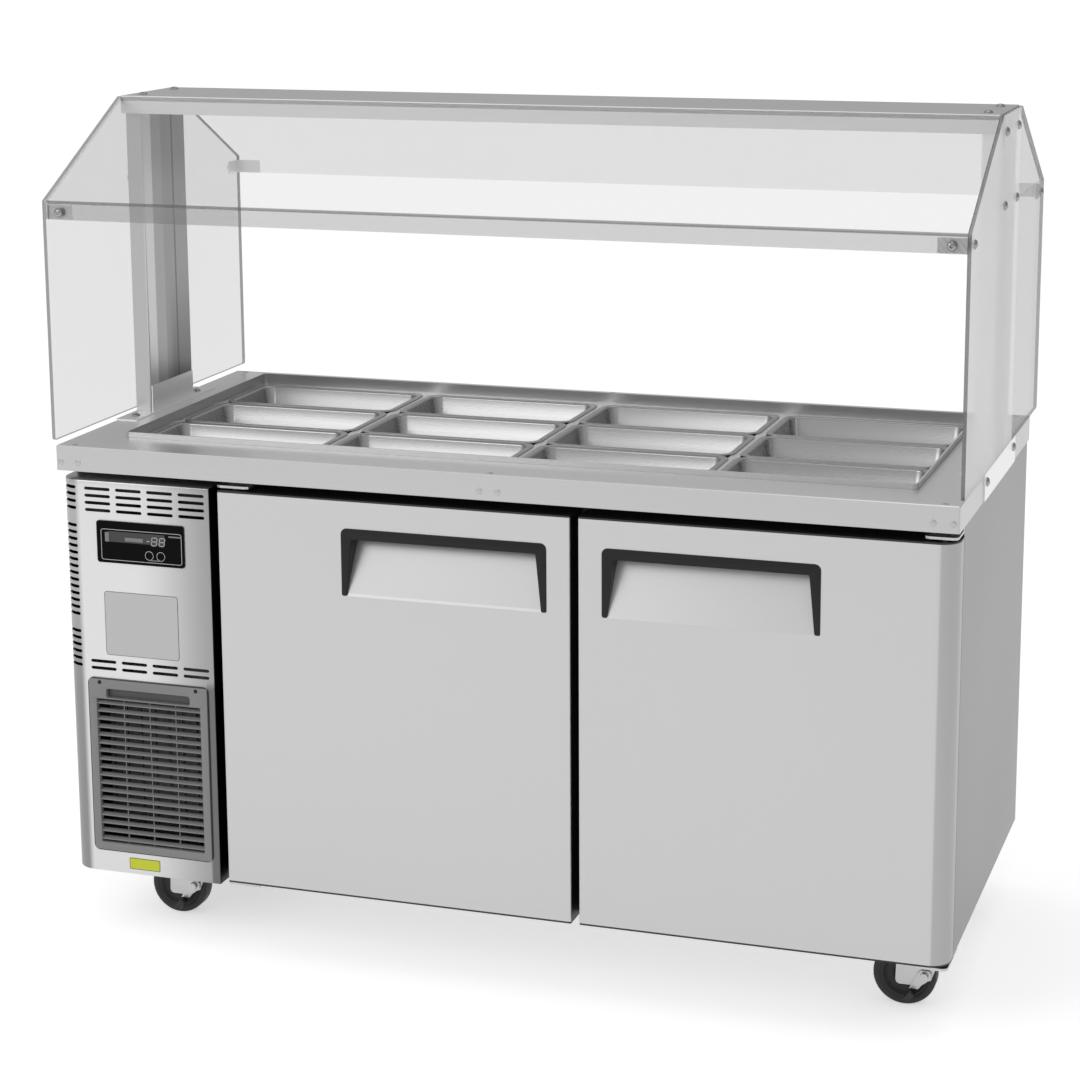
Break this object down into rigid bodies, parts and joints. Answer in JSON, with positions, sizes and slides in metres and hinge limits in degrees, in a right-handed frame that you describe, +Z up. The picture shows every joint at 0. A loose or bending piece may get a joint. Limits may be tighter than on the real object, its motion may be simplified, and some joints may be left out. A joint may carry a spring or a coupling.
{
  "type": "mobile salad bar",
  "caption": "Refrigerated salad bar on casters: doored base with louvred machine bay, lift-out pans in a well and a clear double-sided sneeze guard.",
  "frame": {"origin": "on the floor, under the centre of the pan well and of the guard", "axes": "+X to the operator-side right when facing the doors, +Y from the doors to the back, +Z up"},
  "size_m": [1.519, 0.754, 1.413],
  "materials": {
    "stainless_top": "brushed along the length",
    "stainless_body": "fine brushed",
    "white_liner": "smooth moulded",
    "gasket_rubber": "soft extruded",
    "black_plastic": "fine texture",
    "grey_plastic": "fine texture",
    "display_lens": "smoked",
    "zinc_steel": "zinc plated",
    "clear_acrylic": "polished clear",
    "bright_screws": "polished",
    "pan_steel": "satin",
    "coated_wire": "epoxy coated",
    "coil_aluminium": "mill finish",
    "black_steel": "enamel",
    "copper_tube": "bare tube",
    "wheel_black": "moulded"
  },
  "bodies": {
    "base": {"worktop": "stainless_top", "guard_shelf": "stainless_top", "guard_posts": "stainless_top", "guard_brackets": "stainless_top", "well_liner": "stainless_top", "pan_divider_bars": "stainless_top", "cabinet_carcass": "stainless_body", "louvre_panel": "stainless_body", "machine_bay_shell": "stainless_body", "evaporator_cover": "white_liner", "worktop_front_rail": "black_plastic", "controller_bezel": "black_plastic", "condenser_shroud": "black_plastic", "intake_grille": "grey_plastic", "display_window": "display_lens", "hinge_brackets": "zinc_steel", "caster_plates": "zinc_steel", "shelf_rails": "zinc_steel", "end_glasses": "clear_acrylic", "sneeze_screens": "clear_acrylic", "guard_screws": "bright_screws", "wire_shelves": "coated_wire", "condenser_coil": "coil_aluminium", "evaporator_coil": "coil_aluminium", "compressor": "black_steel", "refrigerant_lines": "copper_tube"},
    "left_door": {"left_door_panel": "stainless_body", "left_door_liner": "white_liner", "left_door_gasket": "gasket_rubber", "left_door_handle": "black_plastic"},
    "right_door": {"right_door_panel": "stainless_body", "right_door_liner": "white_liner", "right_door_gasket": "gasket_rubber", "right_door_handle": "black_plastic"},
    "pan_row1_col1": {"pan_row1_col1": "pan_steel"},
    "pan_row1_col2": {"pan_row1_col2": "pan_steel"},
    "pan_row1_col3": {"pan_row1_col3": "pan_steel"},
    "pan_row1_col4": {"pan_row1_col4": "pan_steel"},
    "pan_row2_col1": {"pan_row2_col1": "pan_steel"},
    "pan_row2_col2": {"pan_row2_col2": "pan_steel"},
    "pan_row2_col3": {"pan_row2_col3": "pan_steel"},
    "pan_row2_col4": {"pan_row2_col4": "pan_steel"},
    "pan_row3_col1": {"pan_row3_col1": "pan_steel"},
    "pan_row3_col2": {"pan_row3_col2": "pan_steel"},
    "pan_row3_col3": {"pan_row3_col3": "pan_steel"},
    "pan_row3_col4": {"pan_row3_col4": "pan_steel"},
    "set_button": {"set_button": "black_plastic"},
    "defrost_button": {"defrost_button": "black_plastic"},
    "condenser_fan": {"condenser_fan": "black_plastic"},
    "evaporator_fan": {"evaporator_fan": "black_plastic"},
    "fork_front_left": {"fork_front_left": "zinc_steel"},
    "wheel_front_left": {"wheel_front_left": "wheel_black"},
    "brake_front_left": {"brake_front_left": "zinc_steel"},
    "fork_front_right": {"fork_front_right": "zinc_steel"},
    "wheel_front_right": {"wheel_front_right": "wheel_black"},
    "brake_front_right": {"brake_front_right": "zinc_steel"},
    "fork_rear_left": {"fork_rear_left": "zinc_steel"},
    "wheel_rear_left": {"wheel_rear_left": "wheel_black"},
    "fork_rear_right": {"fork_rear_right": "zinc_steel"},
    "wheel_rear_right": {"wheel_rear_right": "wheel_black"}
  },
  "joints": [
    {"name": "left_door_hinge", "type": "hinge", "parent": "base", "child": "left_door", "pos_m": [-0.4355, -0.351, 0.4613], "axis": [0, 0, -1], "range_deg": [0, 100]},
    {"name": "right_door_hinge", "type": "hinge", "parent": "base", "child": "right_door", "pos_m": [0.7245, -0.351, 0.4613], "axis": [0, 0, 1], "range_deg": [0, 100]},
    {"name": "pan_row1_col1_lift", "type": "slide", "parent": "base", "child": "pan_row1_col1", "axis": [0, 0, 1], "range_m": [0, 0.15]},
    {"name": "pan_row1_col2_lift", "type": "slide", "parent": "base", "child": "pan_row1_col2", "axis": [0, 0, 1], "range_m": [0, 0.15]},
    {"name": "pan_row1_col3_lift", "type": "slide", "parent": "base", "child": "pan_row1_col3", "axis": [0, 0, 1], "range_m": [0, 0.15]},
    {"name": "pan_row1_col4_lift", "type": "slide", "parent": "base", "child": "pan_row1_col4", "axis": [0, 0, 1], "range_m": [0, 0.15]},
    {"name": "pan_row2_col1_lift", "type": "slide", "parent": "base", "child": "pan_row2_col1", "axis": [0, 0, 1], "range_m": [0, 0.15]},
    {"name": "pan_row2_col2_lift", "type": "slide", "parent": "base", "child": "pan_row2_col2", "axis": [0, 0, 1], "range_m": [0, 0.15]},
    {"name": "pan_row2_col3_lift", "type": "slide", "parent": "base", "child": "pan_row2_col3", "axis": [0, 0, 1], "range_m": [0, 0.15]},
    {"name": "pan_row2_col4_lift", "type": "slide", "parent": "base", "child": "pan_row2_col4", "axis": [0, 0, 1], "range_m": [0, 0.15]},
    {"name": "pan_row3_col1_lift", "type": "slide", "parent": "base", "child": "pan_row3_col1", "axis": [0, 0, 1], "range_m": [0, 0.15]},
    {"name": "pan_row3_col2_lift", "type": "slide", "parent": "base", "child": "pan_row3_col2", "axis": [0, 0, 1], "range_m": [0, 0.15]},
    {"name": "pan_row3_col3_lift", "type": "slide", "parent": "base", "child": "pan_row3_col3", "axis": [0, 0, 1], "range_m": [0, 0.15]},
    {"name": "pan_row3_col4_lift", "type": "slide", "parent": "base", "child": "pan_row3_col4", "axis": [0, 0, 1], "range_m": [0, 0.15]},
    {"name": "set_button_press", "type": "slide", "parent": "base", "child": "set_button", "axis": [0, 1, 0], "range_m": [0, 0.0015], "stiffness_N_per_m": 600, "springref_m": -0.0005},
    {"name": "defrost_button_press", "type": "slide", "parent": "base", "child": "defrost_button", "axis": [0, 1, 0], "range_m": [0, 0.0015], "stiffness_N_per_m": 600, "springref_m": -0.0005},
    {"name": "condenser_fan_spin", "type": "hinge", "parent": "base", "child": "condenser_fan", "pos_m": [-0.5965, -0.24, 0.2755], "axis": [0, 1, 0], "continuous": true},
    {"name": "evaporator_fan_spin", "type": "hinge", "parent": "base", "child": "evaporator_fan", "pos_m": [-0.3735, 0, 0.565], "axis": [1, 0, 0], "continuous": true},
    {"name": "swivel_front_left", "type": "hinge", "parent": "base", "child": "fork_front_left", "pos_m": [-0.5835, -0.224, 0.1175], "axis": [0, 0, 1], "continuous": true},
    {"name": "roll_front_left", "type": "hinge", "parent": "fork_front_left", "child": "wheel_front_left", "pos_m": [-0.6195, -0.224, 0.051], "axis": [0, 1, 0], "continuous": true},
    {"name": "brake_front_left_tip", "type": "hinge", "parent": "fork_front_left", "child": "brake_front_left", "pos_m": [-0.5855, -0.248, 0.057], "axis": [0, 1, 0], "range_deg": [0, 20]},
    {"name": "swivel_front_right", "type": "hinge", "parent": "base", "child": "fork_front_right", "pos_m": [0.694, -0.224, 0.1175], "axis": [0, 0, 1], "continuous": true},
    {"name": "roll_front_right", "type": "hinge", "parent": "fork_front_right", "child": "wheel_front_right", "pos_m": [0.658, -0.224, 0.051], "axis": [0, 1, 0], "continuous": true},
    {"name": "brake_front_right_tip", "type": "hinge", "parent": "fork_front_right", "child": "brake_front_right", "pos_m": [0.692, -0.248, 0.057], "axis": [0, 1, 0], "range_deg": [0, 20]},
    {"name": "swivel_rear_left", "type": "hinge", "parent": "base", "child": "fork_rear_left", "pos_m": [-0.5835, 0.187, 0.1175], "axis": [0, 0, 1], "continuous": true},
    {"name": "roll_rear_left", "type": "hinge", "parent": "fork_rear_left", "child": "wheel_rear_left", "pos_m": [-0.6195, 0.187, 0.051], "axis": [0, 1, 0], "continuous": true},
    {"name": "swivel_rear_right", "type": "hinge", "parent": "base", "child": "fork_rear_right", "pos_m": [0.694, 0.187, 0.1175], "axis": [0, 0, 1], "continuous": true},
    {"name": "roll_rear_right", "type": "hinge", "parent": "fork_rear_right", "child": "wheel_rear_right", "pos_m": [0.658, 0.187, 0.051], "axis": [0, 1, 0], "continuous": true}
  ]
}
